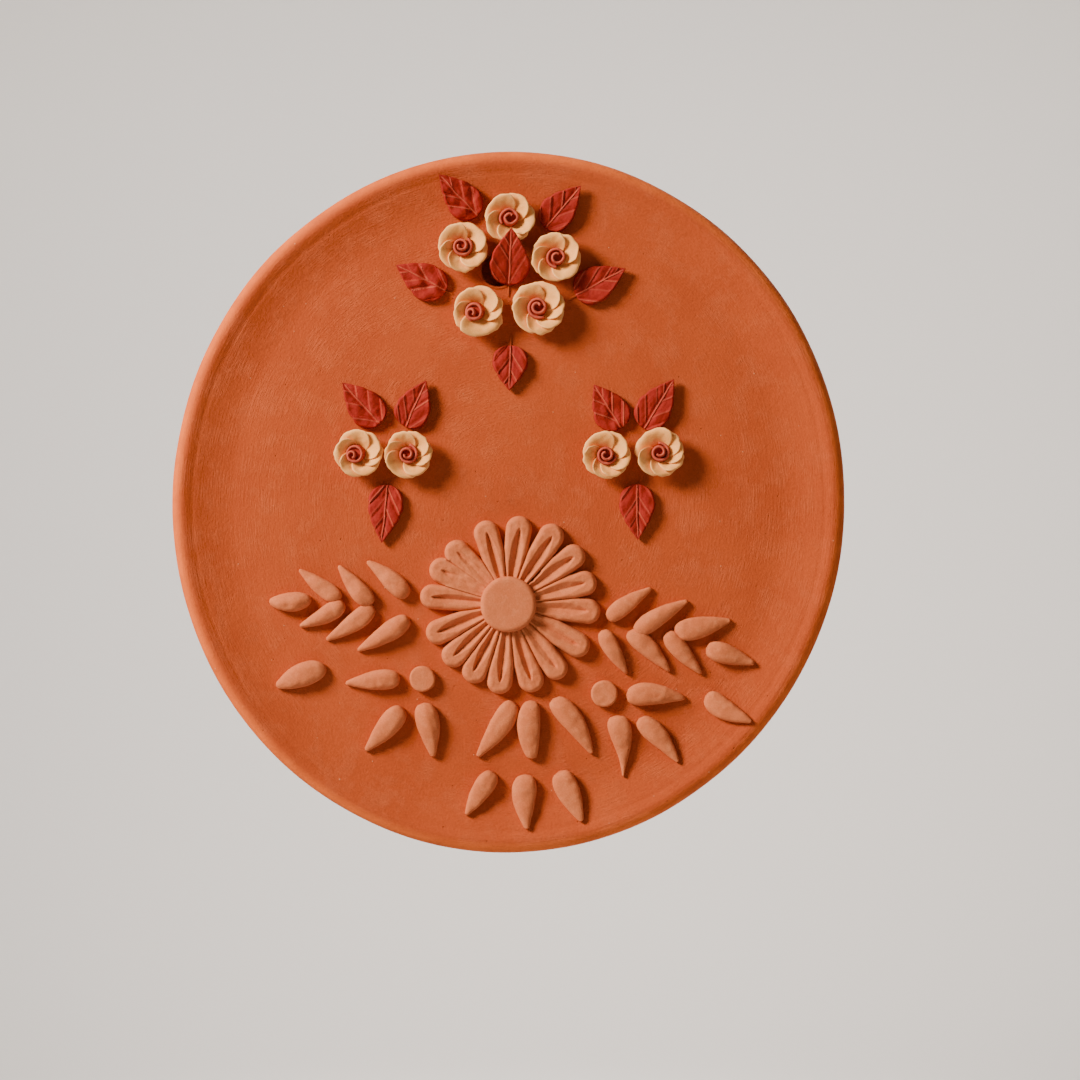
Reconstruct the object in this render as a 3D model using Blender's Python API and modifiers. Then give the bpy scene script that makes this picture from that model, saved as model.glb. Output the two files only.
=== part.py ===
# Clay wall plate with applied roses, leaves, a daisy and sprays of petals.
# Sizes are in millimetres and become metres where a mesh is made. The plate hangs upright:
# its face looks along -Y, its flat back is the plane Y = 0, +X is to the right and +Z is up.

import math

import bmesh
import bpy
from mathutils import Vector

MM = 0.001
WELD = 0.00001  # metres, for closing a turned shape on its axis
SEAT_GAP = 0.3  # left between two pieces that are pressed together

# The plate is turned round, then pulled a little taller than it is wide.
PLATE_WIDTH = 300.0
PLATE_HEIGHT = 313.0
PLATE_LEAN = math.radians(4.5)  # its long axis leans to the right at the top
FLOOR_THICKNESS = 12.0
FACE_RISE = 4.5  # the face curves up this far before the lip
FACE_CURVE_WIDTH = 22.0
FACE_CURVE_POWER = 1.6  # above 1, so the curve starts flat
RIM_THICKNESS = 9.0
RIM_TILT = math.radians(16)
BACK_FLARE_WIDTH = 28.0
PLATE_STEPS = 54
FACE_CURVE_STEPS = 5
RIM_STEPS = 6
HOLE_DIAMETER = 15.0  # the front of the hanging hole takes a nail's head
HOLE_DEPTH = 8.5
HOLE_SIDES = 20
NAIL_HOLE_DIAMETER = 4.5  # goes through the rest of the plate
NAIL_HOLE_SIDES = 12
HOLE_OVERSHOOT = 5.0  # the cutter runs this far past both faces

# Roses, leaves and their places are shares of one rose's diameter.
ROSE_DIAMETER = 21.6
ROSE_HEIGHT = 7.5
ROSE_PETAL_COUNT = 5
PETAL_STOPS = (0.0, 0.06, 0.35, 0.65, 0.94)  # along a petal, close together at its free edge
PETAL_EDGE_RISE = 0.9  # a petal's free edge stands this high over the next one
PETAL_SWIRL = math.radians(70)  # how far a petal's edge winds between bud and rim
WELL_RISE = 0.4  # the bud's well is this much shallower at its edge
BUD_DIAMETER = 9.0
BUD_HEIGHT = 5.4
BUD_SUNK_SHARE = 0.7  # share of the bud's height that stands in the bloom
BUD_TURNS = 1.6
BUD_STRIP = 1.1  # thickness of the strip that the bud is rolled from
BUD_STEPS = 13
BUD_EYE = 1.5  # diameter of the hollow that the strip is rolled round
LEAF_THICKNESS = 2.8
VEIN_DEPTH = 0.7
STALK_WIDTH = 1.6

# Daisy
DAISY_DIAMETER = 82.0
DAISY_PETAL_COUNT = 16
DAISY_PETAL_WIDTH = 11.6
DAISY_THICKNESS = 4.2
DAISY_GROOVE = 1.8  # depth of the trough down each petal
DAISY_CENTRE_DIAMETER = 25.4
DAISY_CENTRE_THICKNESS = 4.0
DAISY_CENTRE_ROUNDING = 1.4
DAISY_CENTRE_SIDES = 20
DAISY_CENTRE_OVERLAP = 1.5  # the petals run this far in under the centre
DAISY_HUB_THICKNESS = 2.6  # under the centre disc

# Sprays are shares of one petal drop's length.
DROP_LENGTH = 19.0
DROP_THICKNESS = 5.0
DOT_THICKNESS = 3.6
DOT_ROUNDING = 1.0
DOT_SIDES = 12

# Centres of the groups
CROWN_TOP_MARGIN = 50.5  # from the plate's top edge down to the hanging hole
HOLE_OFFSET = Vector((-4.7, -2.2))  # the hole's centre from the crown's centre
PAIR_ACROSS = 0.37  # share of half the plate's width
PAIR_UP = 0.137  # share of half the plate's height
DAISY_DOWN = 0.291  # share of half the plate's height
CROWN = Vector((0.2, PLATE_HEIGHT / 2 - CROWN_TOP_MARGIN))
LEFT_PAIR = Vector((-PAIR_ACROSS * PLATE_WIDTH / 2, PAIR_UP * PLATE_HEIGHT / 2))
RIGHT_PAIR = Vector((-LEFT_PAIR.x, LEFT_PAIR.y))
DAISY = Vector((0.0, -DAISY_DOWN * PLATE_HEIGHT / 2))

# Each rose: place across and up from its group's centre, turn in degrees, size.
CROWN_ROSES = ((0.02, 0.94, 15, 1.03), (-0.95, 0.34, 80, 1.03), (0.97, 0.13, 50, 1.03),
               (-0.63, -0.97, 0, 1.04), (0.61, -0.91, 35, 1.1))
LEFT_ROSES = ((-0.51, 0.01, 25, 1.0), (0.51, -0.01, 55, 1.0))
RIGHT_ROSES = ((-0.55, -0.02, 70, 1.0), (0.55, 0.02, 10, 1.0))

# Each leaf: its base across and up, the way it points in degrees, length, width,
# how high its tip is lifted, and its stalk.
CROWN_LEAVES = ((-0.64, 1.01, 134, 1.15, 0.72, 0.05, 0.1), (0.76, 0.74, 50, 1.13, 0.72, 0.12, 0.0),
                (-1.3, -0.54, 153, 1.16, 0.76, 0.04, 0.17), (1.38, -0.64, 28, 1.17, 0.76, 0.12, 0.25),
                (0.01, -0.41, 87, 1.12, 0.78, 0.5, 0.25), (0.04, -1.67, -92, 0.94, 0.75, 0.08, 0.24))
LEFT_LEAVES = ((-0.07, 0.63, 133, 1.16, 0.72, 0.06, 0.0), (0.45, 0.56, 66, 1.05, 0.72, 0.12, 0.0),
               (0.08, -0.63, -96, 1.21, 0.73, 0.08, 0.0))
RIGHT_LEAVES = ((-0.24, 0.53, 122, 1.07, 0.72, 0.06, 0.0), (0.23, 0.52, 59, 1.2, 0.73, 0.12, 0.0),
                (0.08, -0.62, -89, 1.15, 0.75, 0.08, 0.0))

# Each drop: its middle from the group's start on the daisy's edge, the way its tip points
# in degrees, length and width. Two drops in one inner pair are pressed into each other.
LEFT_SPRAY = (((-2.96, 0.08, -177, 1.01, 0.45),),
              ((-2.27, 0.46, 144, 1.22, 0.42), (-2.22, -0.24, -153, 1.2, 0.43)),
              ((-1.44, 0.45, 130, 1.22, 0.45), (-1.56, -0.45, -145, 1.38, 0.45)),
              ((-0.68, 0.6, 139, 1.28, 0.46),),
              ((-0.78, -0.71, -148, 1.45, 0.47),))
LEFT_SIDE = (((-3.34, -0.17, -159, 1.27, 0.56),), ((-1.66, -0.27, -175, 1.3, 0.48),),
             ((-1.39, -1.41, -131, 1.36, 0.53),), ((-0.36, -1.42, -80, 1.3, 0.56),))
FOOT_FAN = (((-0.3, -0.78, -124, 1.57, 0.53),), ((0.54, -0.78, -89, 1.39, 0.54),),
            ((1.51, -0.7, -55, 1.6, 0.54),), ((-0.67, -2.28, -123, 1.21, 0.48),),
            ((0.41, -2.47, -88, 1.29, 0.58),), ((1.46, -2.34, -65, 1.29, 0.57),))
RIGHT_SPRAY = (((0.68, 0.02, 35, 1.28, 0.42),),
               ((1.43, -0.29, 31, 1.47, 0.46), (1.14, -1.11, -44, 1.36, 0.46)),
               ((2.4, -0.52, 13, 1.37, 0.53), (1.96, -1.15, -49, 1.28, 0.44)),
               ((0.33, -1.12, -60, 1.19, 0.41),), ((3.05, -1.21, -18, 1.2, 0.49),))
RIGHT_SIDE = (((1.93, -0.64, -3, 1.39, 0.54),), ((3.63, -0.92, -29, 1.23, 0.52),),
              ((1.09, -1.8, -84, 1.46, 0.55),), ((2.0, -1.66, -48, 1.38, 0.49),))

# Each group of drops starts where this bearing from the daisy's centre meets its edge.
DROP_GROUPS = (("left_spray", 180, LEFT_SPRAY), ("left_side", 225, LEFT_SIDE),
               ("foot_fan", 270, FOOT_FAN), ("right_spray", 0, RIGHT_SPRAY),
               ("right_side", 315, RIGHT_SIDE))
# Each dot: its name, the bearing of its group's start, its place and its diameter.
DOTS = (("left_dot", 225, -0.49, -0.22, 0.61), ("right_dot", 315, 0.72, -0.57, 0.63))

# The rim is a half round that meets the face and the back at the same tilt.
RIM_ROUND = RIM_THICKNESS / 2
RIM_CENTRE = Vector((PLATE_WIDTH / 2 - RIM_ROUND,
                     FLOOR_THICKNESS + FACE_RISE - RIM_ROUND * math.cos(RIM_TILT)))
FACE_EDGE_RADIUS = RIM_CENTRE.x - RIM_ROUND * math.sin(RIM_TILT)
FLOOR_RADIUS = FACE_EDGE_RADIUS - FACE_CURVE_WIDTH
BASE_RADIUS = RIM_CENTRE.x + RIM_ROUND * math.sin(RIM_TILT) - BACK_FLARE_WIDTH


def face_curve(radius):
    """How far the plate's face stands in front of its back, at a radius of the round blank."""
    share = min(max((radius - FLOOR_RADIUS) / FACE_CURVE_WIDTH, 0.0), 1.0)
    return FLOOR_THICKNESS + FACE_RISE * share ** FACE_CURVE_POWER


def face_depth(x, z):
    """The same at a place on the finished, oval and leaning plate."""
    across = x * math.cos(PLATE_LEAN) - z * math.sin(PLATE_LEAN)
    along = x * math.sin(PLATE_LEAN) + z * math.cos(PLATE_LEAN)
    return face_curve(math.hypot(across, along * PLATE_WIDTH / PLATE_HEIGHT))


def clay(name, colour, roughness):
    """A matte fired clay."""
    material = bpy.data.materials.new(name)
    material.use_nodes = True
    shader = material.node_tree.nodes["Principled BSDF"]
    shader.inputs["Base Color"].default_value = (*colour, 1.0)
    shader.inputs["Roughness"].default_value = roughness
    shader.inputs["Metallic"].default_value = 0.0
    return material


def new_object(name, bm, material, collection, parent):
    """A mesh object from a bmesh whose sizes are in millimetres."""
    bmesh.ops.scale(bm, vec=(MM, MM, MM), verts=bm.verts)
    mesh = bpy.data.meshes.new(name)
    bm.to_mesh(mesh)
    bm.free()
    mesh.materials.append(material)
    mesh.shade_smooth()
    mesh.set_sharp_from_angle(angle=math.radians(40))
    item = bpy.data.objects.new(name, mesh)
    collection.objects.link(item)
    item.parent = parent
    return item


def place_on_face(name, bm, spot, turn, material, collection, parent):
    """Lays a piece on the plate's face: its underside follows the face, a seat gap above it.

    In the piece's own frame x and y lie along the face and z stands up from it."""
    seat = face_depth(spot.x, spot.y)
    cos_turn = math.cos(turn)
    sin_turn = math.sin(turn)
    for vert in bm.verts:
        x = spot.x + vert.co.x * cos_turn - vert.co.y * sin_turn
        z = spot.y + vert.co.x * sin_turn + vert.co.y * cos_turn
        vert.co.z += face_depth(x, z) - seat
    item = new_object(name, bm, material, collection, parent)
    item.location = Vector((spot.x, -(seat + SEAT_GAP), spot.y)) * MM
    item.rotation_euler = (math.radians(90), -turn, 0.0)
    return item


def union(keeper, other, cutters):
    """Presses one piece into another, as one body."""
    for collection in list(other.users_collection):
        collection.objects.unlink(other)
    cutters.objects.link(other)
    other.hide_render = True
    other.display_type = "WIRE"
    joint = keeper.modifiers.new("pressed_together", "BOOLEAN")
    joint.operation = "UNION"
    joint.solver = "EXACT"
    joint.object = other


def face_outwards(bm):
    """Turns a closed shape's faces outwards."""
    bmesh.ops.recalc_face_normals(bm, faces=bm.faces)
    if bm.calc_volume(signed=True) < 0:
        bmesh.ops.reverse_faces(bm, faces=bm.faces)


def turned(profile, steps):
    """A profile of (radius, height) points turned about Z, from one end on the axis to the other."""
    bm = bmesh.new()
    verts = [bm.verts.new((radius, 0.0, height)) for radius, height in profile]
    edges = [bm.edges.new(pair) for pair in zip(verts, verts[1:])]
    bmesh.ops.spin(bm, geom=verts + edges, axis=(0, 0, 1), angle=math.tau, steps=steps,
                   use_merge=True, use_duplicate=False)
    bmesh.ops.remove_doubles(bm, verts=bm.verts, dist=0.01)
    face_outwards(bm)
    return bm


def reshape(bm, profile, steps, placed):
    """Moves each point of a turned blank to placed(ring, step)."""
    for vert in bm.verts:
        radius = math.hypot(vert.co.x, vert.co.y)
        ring = min(range(len(profile)),
                   key=lambda k: math.hypot(profile[k][0] - radius, profile[k][1] - vert.co.z))
        step = round(math.atan2(vert.co.y, vert.co.x) / math.tau * steps) % steps
        if profile[ring][0] > 0:
            vert.co = placed(ring, step)


def polar(radius, angle, height):
    return Vector((radius * math.cos(angle), radius * math.sin(angle), height))


def drill(plate, name, diameter, sides, start, end, material, cutters, parent):
    """Cuts a round hole at the hanging place, between two distances in front of the back."""
    bm = bmesh.new()
    bmesh.ops.create_cone(bm, cap_ends=True, segments=sides, radius1=diameter / 2,
                          radius2=diameter / 2, depth=end - start)
    cutter = new_object(name + "_cutter", bm, material, cutters, parent)
    cutter.rotation_euler = (math.radians(90), 0.0, 0.0)
    hole = CROWN + HOLE_OFFSET
    cutter.location = Vector((hole.x, -(start + end) / 2, hole.y)) * MM
    cutter.hide_render = True
    cutter.display_type = "WIRE"
    cut = plate.modifiers.new(name, "BOOLEAN")
    cut.operation = "DIFFERENCE"
    cut.solver = "EXACT"
    cut.object = cutter


def make_plate(material, cutters, collection, parent):
    """The dish: a flat floor, a face that curves up, a rounded rim and a flared back."""
    profile = [(0.0, FLOOR_THICKNESS)]
    for k in range(FACE_CURVE_STEPS):
        radius = FLOOR_RADIUS + FACE_CURVE_WIDTH * k / FACE_CURVE_STEPS
        profile.append((radius, face_curve(radius)))
    for k in range(RIM_STEPS + 1):
        angle = math.radians(90) + RIM_TILT - math.pi * k / RIM_STEPS
        profile.append((RIM_CENTRE.x + RIM_ROUND * math.cos(angle),
                        RIM_CENTRE.y + RIM_ROUND * math.sin(angle)))
    profile.append((BASE_RADIUS, 0.0))
    profile.append((0.0, 0.0))
    bm = bmesh.new()
    verts = [bm.verts.new((radius, 0.0, depth)) for radius, depth in profile]
    for pair in zip(verts, verts[1:]):
        bm.edges.new(pair)
    plate = new_object("plate", bm, material, collection, parent)
    plate.rotation_euler = (math.radians(90), PLATE_LEAN, 0.0)
    plate.scale = (1.0, PLATE_HEIGHT / PLATE_WIDTH, 1.0)
    screw = plate.modifiers.new("turned", "SCREW")
    screw.axis = "Z"
    screw.steps = PLATE_STEPS
    screw.render_steps = PLATE_STEPS
    screw.use_merge_vertices = True
    screw.merge_threshold = WELD
    drill(plate, "hanging_hole", HOLE_DIAMETER, HOLE_SIDES, FLOOR_THICKNESS - HOLE_DEPTH,
          FLOOR_THICKNESS + HOLE_OVERSHOOT, material, cutters, parent)
    drill(plate, "nail_hole", NAIL_HOLE_DIAMETER, NAIL_HOLE_SIDES, -HOLE_OVERSHOOT,
          FLOOR_THICKNESS + HOLE_OVERSHOOT, material, cutters, parent)


def make_bloom(size):
    """Five petals laid round each other like a pinwheel, cupped, with a well for the bud."""
    radius = ROSE_DIAMETER / 2 * size
    well = (BUD_DIAMETER / 2 + SEAT_GAP) * size / radius
    floor = ROSE_HEIGHT - BUD_HEIGHT * BUD_SUNK_SHARE
    profile = [(0.0, 0.0), (0.62, 0.0), (0.98, 0.8 * ROSE_HEIGHT), (0.92, ROSE_HEIGHT),
               (0.68, 0.84 * ROSE_HEIGHT), (well, floor + WELL_RISE), (0.0, floor)]
    profile = [(share * radius, height) for share, height in profile]
    steps = ROSE_PETAL_COUNT * len(PETAL_STOPS)
    bm = turned(profile, steps)
    first_petal_ring = 2
    well_ring = len(profile) - 2

    def placed(ring, step):
        ring_radius, height = profile[ring]
        petal, stop = divmod(step, len(PETAL_STOPS))
        along = PETAL_STOPS[stop]
        angle = (petal + along) * math.tau / ROSE_PETAL_COUNT
        bulge = 0.92 + 0.08 * math.sin(math.pi * min(along * 1.3, 1.0) ** 0.8)
        if ring < first_petal_ring:
            return polar(ring_radius * bulge, angle, height)
        angle += PETAL_SWIRL * (1 - ring_radius / radius)
        if ring == well_ring:
            return polar(ring_radius, angle, height)
        return polar(ring_radius * bulge, angle, height - PETAL_EDGE_RISE * (1 - along))

    reshape(bm, profile, steps, placed)
    return bm


def make_bud(size):
    """A strip of clay rolled into a spiral that stands higher in the middle."""
    bm = bmesh.new()
    bmesh.ops.create_cube(bm, size=1.0)
    long_edges = [edge for edge in bm.edges
                  if abs((edge.verts[0].co - edge.verts[1].co).x) > 0.5]
    bmesh.ops.subdivide_edges(bm, edges=long_edges, cuts=BUD_STEPS - 1, use_grid_fill=True)
    inner = (BUD_EYE + BUD_STRIP) / 2
    outer = (BUD_DIAMETER - BUD_STRIP) / 2
    bottom = ROSE_HEIGHT - BUD_HEIGHT * BUD_SUNK_SHARE + WELL_RISE + SEAT_GAP
    for vert in bm.verts:
        along = vert.co.x + 0.5
        angle = along * BUD_TURNS * math.tau
        radius = inner + (outer - inner) * along + vert.co.y * BUD_STRIP
        top = BUD_HEIGHT * (1 - 0.22 * along)
        height = bottom + (top if vert.co.z > 0 else 0.0)
        vert.co = polar(radius * size, angle, height)
    face_outwards(bm)
    return bm


def leaf_outline(share):
    """Half width of a leaf's blade as a share of its half width, from base to tip."""
    base_power = 0.36
    tip_power = 0.7
    widest = base_power / (base_power + tip_power)
    peak = widest ** base_power * (1 - widest) ** tip_power
    share = min(max(share, 0.0), 1.0)
    return share ** base_power * (1 - share) ** tip_power / peak


def make_leaf(length, width, lift, stalk):
    """A pointed leaf with a sunk midrib and sunk side veins that run out towards the tip."""
    rows = (0.02, 0.12, 0.25, 0.37, 0.5, 0.62, 0.75, 0.86, 1.0)
    if stalk > 0:
        rows = (-stalk / length,) + rows
    bm = bmesh.new()
    bmesh.ops.create_grid(bm, x_segments=len(rows) - 1, y_segments=4, size=0.5)
    for vert in bm.verts:
        row = round((vert.co.x + 0.5) * (len(rows) - 1))
        column = round(vert.co.y * 4) / 2
        share = rows[row]
        if share <= 0.02:
            taper = 1.0 if share > 0 else 0.6
            vert.co = Vector((share * length, column * STALK_WIDTH / 2 * taper,
                              STALK_WIDTH * (1 - 0.4 * abs(column))))
            continue
        vein_row = share in (0.12, 0.37, 0.62, 0.86)
        along = share + 0.8 * abs(column) * share * (1 - share)
        half = width / 2 * leaf_outline(along)
        if abs(column) == 1 and vein_row:
            half *= 0.96
        top = LEAF_THICKNESS * (1 - 0.4 * column * column)
        if share == 1.0:
            top = LEAF_THICKNESS * 0.6
        elif column == 0 or (vein_row and abs(column) < 1):
            top -= VEIN_DEPTH
        taper_down = 1 - 0.35 * max(share - 0.5, 0.0) / 0.5
        vert.co = Vector((along * length, column * half, top * taper_down))
    bmesh.ops.remove_doubles(bm, verts=bm.verts, dist=0.01)
    rim = [edge for edge in bm.edges if edge.is_boundary]
    dropped = bmesh.ops.extrude_edge_only(bm, edges=rim)["geom"]
    for vert in (item for item in dropped if isinstance(item, bmesh.types.BMVert)):
        vert.co.z = 0.0
    underside = [edge for edge in bm.edges if edge.is_boundary]
    bmesh.ops.contextual_create(bm, geom=underside)
    bmesh.ops.triangulate(bm, faces=[face for face in bm.faces if len(face.verts) > 4])
    for vert in bm.verts:
        vert.co.z += lift * max(vert.co.x / length, 0.0)
    face_outwards(bm)
    return bm


def daisy_petal_half_width(radius):
    """Half width of a daisy petal at a distance from the daisy's centre."""
    tip = DAISY_DIAMETER / 2
    round_end = DAISY_PETAL_WIDTH / 2
    if radius > tip - round_end:
        return math.sqrt(max(round_end ** 2 - (radius - tip + round_end) ** 2, 0.0))
    slimming = (tip - round_end - radius) / tip
    return round_end * (1 - 0.55 * slimming)


def make_daisy_petals():
    """One pressed flower of long looped petals, with a raised border round each trough."""
    stops = (-1.0, -0.86, -0.5, 0.0, 0.5, 0.86)  # rays across one petal's share of the circle
    steps = DAISY_PETAL_COUNT * len(stops)
    tip = DAISY_DIAMETER / 2
    hub = DAISY_CENTRE_DIAMETER / 2 - DAISY_CENTRE_OVERLAP
    notch = tip * 0.69
    bands = (0.0, 0.25, 0.5, 0.75, 0.93)
    profile = [(0.0, 0.0), (tip, 0.0), (tip, DAISY_THICKNESS / 2)]
    profile += [(hub + band * (tip - hub), DAISY_THICKNESS) for band in reversed(bands)]
    profile += [(0.0, DAISY_THICKNESS)]
    bm = turned(profile, steps)
    pitch = math.tau / DAISY_PETAL_COUNT

    def outline(off_axis):
        """Where a ray at this angle from a petal's axis leaves the petal."""
        low, high = notch, tip
        for _ in range(30):
            middle = (low + high) / 2
            if middle * math.sin(abs(off_axis)) <= daisy_petal_half_width(middle * math.cos(off_axis)):
                low = middle
            else:
                high = middle
        return low

    def relief(radius, off_axis):
        half = max(daisy_petal_half_width(radius), 0.1)
        across = min(abs(radius * math.sin(off_axis)) / half, 1.0)
        border = DAISY_THICKNESS * (1 - 0.5 * max(across - 0.5, 0.0) / 0.5)
        trough = DAISY_GROOVE * (1 - across / 0.5) if across < 0.5 else 0.0
        fade = min(max((tip * 0.93 - radius) / (tip * 0.08), 0.0), 1.0)
        return border - trough * fade

    def placed(ring, step):
        petal, stop = divmod(step, len(stops))
        off_axis = stops[stop] * pitch / 2
        angle = petal * pitch + off_axis
        edge = outline(off_axis)
        if ring == 1:
            return polar(edge, angle, 0.0)
        if ring == 2:
            return polar(edge, angle, DAISY_THICKNESS * 0.45)
        share = (profile[ring][0] - hub) / (tip - hub)
        radius = hub + share * (edge - hub)
        height = relief(radius, off_axis)
        if share == 0:
            height = DAISY_HUB_THICKNESS
        return polar(radius, angle, height)

    reshape(bm, profile, steps, placed)
    for vert in bm.verts:
        if math.hypot(vert.co.x, vert.co.y) < 0.01 and vert.co.z > 0:
            vert.co.z = DAISY_HUB_THICKNESS
    return bm


def make_disc(diameter, thickness, rounding, sides):
    """A flat round disc with a soft upper edge."""
    radius = diameter / 2
    return turned([(0.0, 0.0), (radius - rounding / 2, 0.0), (radius, rounding / 2),
                   (radius, thickness - rounding), (radius - rounding, thickness),
                   (0.0, thickness)], sides)


def drop_outline(share):
    """Half width of a petal drop as a share of its half width, from tip to round end."""
    tip_power = 0.8
    end_power = 0.38
    widest = tip_power / (tip_power + end_power)
    peak = widest ** tip_power * (1 - widest) ** end_power
    return share ** tip_power * (1 - share) ** end_power / peak


def make_drop(length, width, thickness):
    """A drop of clay rolled to a point and pressed on: flat below, round above."""
    bm = bmesh.new()
    bmesh.ops.create_uvsphere(bm, u_segments=8, v_segments=6, radius=1.0)
    for vert in bm.verts:
        share = (1 - vert.co.z) / 2
        girth = math.hypot(vert.co.x, vert.co.y)
        swell = drop_outline(share) if girth > 0.01 else 0.0
        side = vert.co.y / girth if girth > 0.01 else 0.0
        rise = vert.co.x / girth if girth > 0.01 else 0.0
        depth = thickness * (0.35 + 0.65 * swell)
        height = depth * (0.4 + 0.6 * rise if rise >= 0 else 0.4 * max(1 + 1.5 * rise, 0.0))
        if girth <= 0.01:
            height = depth * 0.4
        vert.co = Vector(((0.5 - share) * length, side * swell * width / 2, height))
    face_outwards(bm)
    return bm


def daisy_edge(bearing):
    """The point where a bearing from the daisy's centre meets its edge."""
    angle = math.radians(bearing)
    return DAISY + Vector((math.cos(angle), math.sin(angle))) * DAISY_DIAMETER / 2


def make_roses_and_leaves(finishes, collection, parent):
    groups = (("crown", CROWN, CROWN_ROSES, CROWN_LEAVES),
              ("left_pair", LEFT_PAIR, LEFT_ROSES, LEFT_LEAVES),
              ("right_pair", RIGHT_PAIR, RIGHT_ROSES, RIGHT_LEAVES))
    unit = ROSE_DIAMETER
    for group, centre, roses, leaves in groups:
        for number, (x, z, turn, size) in enumerate(roses, 1):
            spot = centre + Vector((x, z)) * unit
            place_on_face(f"{group}_rose_{number}_petals", make_bloom(size), spot,
                          math.radians(turn), finishes["cream"], collection, parent)
            place_on_face(f"{group}_rose_{number}_bud", make_bud(size), spot,
                          math.radians(turn), finishes["bud"], collection, parent)
        for number, (x, z, way, length, width, lift, stalk) in enumerate(leaves, 1):
            leaf = make_leaf(length * unit, width * unit, lift * unit, stalk * unit)
            place_on_face(f"{group}_leaf_{number}", leaf, centre + Vector((x, z)) * unit,
                          math.radians(way), finishes["leaf"], collection, parent)


def make_daisy(finishes, collection, parent):
    place_on_face("daisy_petals", make_daisy_petals(), DAISY, math.radians(-5),
                  finishes["buff"], collection, parent)
    centre = make_disc(DAISY_CENTRE_DIAMETER, DAISY_CENTRE_THICKNESS, DAISY_CENTRE_ROUNDING,
                       DAISY_CENTRE_SIDES)
    bmesh.ops.translate(centre, vec=(0, 0, DAISY_THICKNESS + SEAT_GAP), verts=centre.verts)
    place_on_face("daisy_centre", centre, DAISY, 0.0, finishes["buff"], collection, parent)


def make_drops_and_dots(finishes, collection, cutters, parent):
    unit = DROP_LENGTH
    for group, bearing, pieces in DROP_GROUPS:
        start = daisy_edge(bearing)
        for number, piece in enumerate(pieces, 1):
            laid = []
            for part, (x, z, way, length, width) in enumerate(piece, 1):
                name = f"{group}_petal_{number}" + ("" if part == 1 else "_mate")
                drop = make_drop(length * unit, width * unit, DROP_THICKNESS)
                laid.append(place_on_face(name, drop, start + Vector((x, z)) * unit,
                                          math.radians(way), finishes["buff"], collection, parent))
            for mate in laid[1:]:
                union(laid[0], mate, cutters)
    for name, bearing, x, z, diameter in DOTS:
        disc = make_disc(diameter * unit, DOT_THICKNESS, DOT_ROUNDING, DOT_SIDES)
        place_on_face(name, disc, daisy_edge(bearing) + Vector((x, z)) * unit, 0.0,
                      finishes["buff"], collection, parent)


def main():
    for item in list(bpy.data.objects):
        bpy.data.objects.remove(item)
    collection = bpy.data.collections.new("clay_wall_plate")
    cutters = bpy.data.collections.new("cutters")
    bpy.context.scene.collection.children.link(collection)
    bpy.context.scene.collection.children.link(cutters)
    parent = bpy.data.objects.new("wall_plate_origin", None)
    collection.objects.link(parent)
    finishes = {
        "plate": clay("terracotta", (0.52, 0.13, 0.035), 0.75),
        "cream": clay("cream_clay", (0.80, 0.55, 0.33), 0.7),
        "bud": clay("rose_bud_clay", (0.45, 0.11, 0.08), 0.7),
        "leaf": clay("brick_red_clay", (0.35, 0.04, 0.025), 0.7),
        "buff": clay("buff_clay", (0.60, 0.27, 0.14), 0.8),
    }
    make_plate(finishes["plate"], cutters, collection, parent)
    make_roses_and_leaves(finishes, collection, parent)
    make_daisy(finishes, collection, parent)
    make_drops_and_dots(finishes, collection, cutters, parent)


main()
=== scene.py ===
import math
import random

import bmesh
import bpy
from mathutils import Matrix, Vector, noise


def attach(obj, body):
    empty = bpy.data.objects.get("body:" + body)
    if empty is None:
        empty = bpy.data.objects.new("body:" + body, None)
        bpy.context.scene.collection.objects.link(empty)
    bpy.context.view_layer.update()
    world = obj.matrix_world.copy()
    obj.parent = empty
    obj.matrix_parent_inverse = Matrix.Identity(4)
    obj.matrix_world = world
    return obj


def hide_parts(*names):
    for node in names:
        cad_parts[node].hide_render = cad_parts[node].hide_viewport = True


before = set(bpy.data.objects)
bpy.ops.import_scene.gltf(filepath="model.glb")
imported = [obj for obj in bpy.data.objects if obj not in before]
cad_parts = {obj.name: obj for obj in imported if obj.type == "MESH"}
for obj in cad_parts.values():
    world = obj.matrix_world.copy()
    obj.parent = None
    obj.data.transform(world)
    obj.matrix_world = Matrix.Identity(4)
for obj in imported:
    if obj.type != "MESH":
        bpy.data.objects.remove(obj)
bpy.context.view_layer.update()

# Every piece is shaped lying on its back in millimetres: x and y run along the plate's face
# and z stands up from it. layOnFace then hangs it up in metres, where the face looks along -Y,
# +X is to the right and +Z is up.
mm = 0.001
weld = 0.002  # closes seams and poles, in the shape's own units
seatGap = 0.1  # mm, between a piece and the face that it is pressed on


# 0 below low, 1 above high, and a soft step between
def ease(value, low, high):
    share = min(max((value - low) / (high - low), 0.0), 1.0)
    return share * share * (3 - 2 * share)


# 1 in the middle, falling away to nothing past about two widths
def bell(distance, width):
    return math.exp(-(distance / width) ** 2)


# smooth random swell from about -0.6 to 0.6, in lumps of about the given size
def swell(place, lump):
    return noise.noise(place / lump)


# a random place in that swell, so that no two pieces are alike
def drawShift(draw):
    return Vector((draw.uniform(0, 90), draw.uniform(0, 90), 0.0))


def keepSign(value, power):
    return math.copysign(abs(value) ** power, value)


# turns faces outwards on a closed shape
def facesOut(bm):
    bmesh.ops.recalc_face_normals(bm, faces=bm.faces)
    if bm.calc_volume(signed=True) < 0:
        bmesh.ops.reverse_faces(bm, faces=bm.faces)


# the crest attribute marks where a painted highlight goes, and -1 marks a stalk
def crestLayer(bm):
    return bm.verts.layers.float.get("crest") or bm.verts.layers.float.new("crest")


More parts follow.
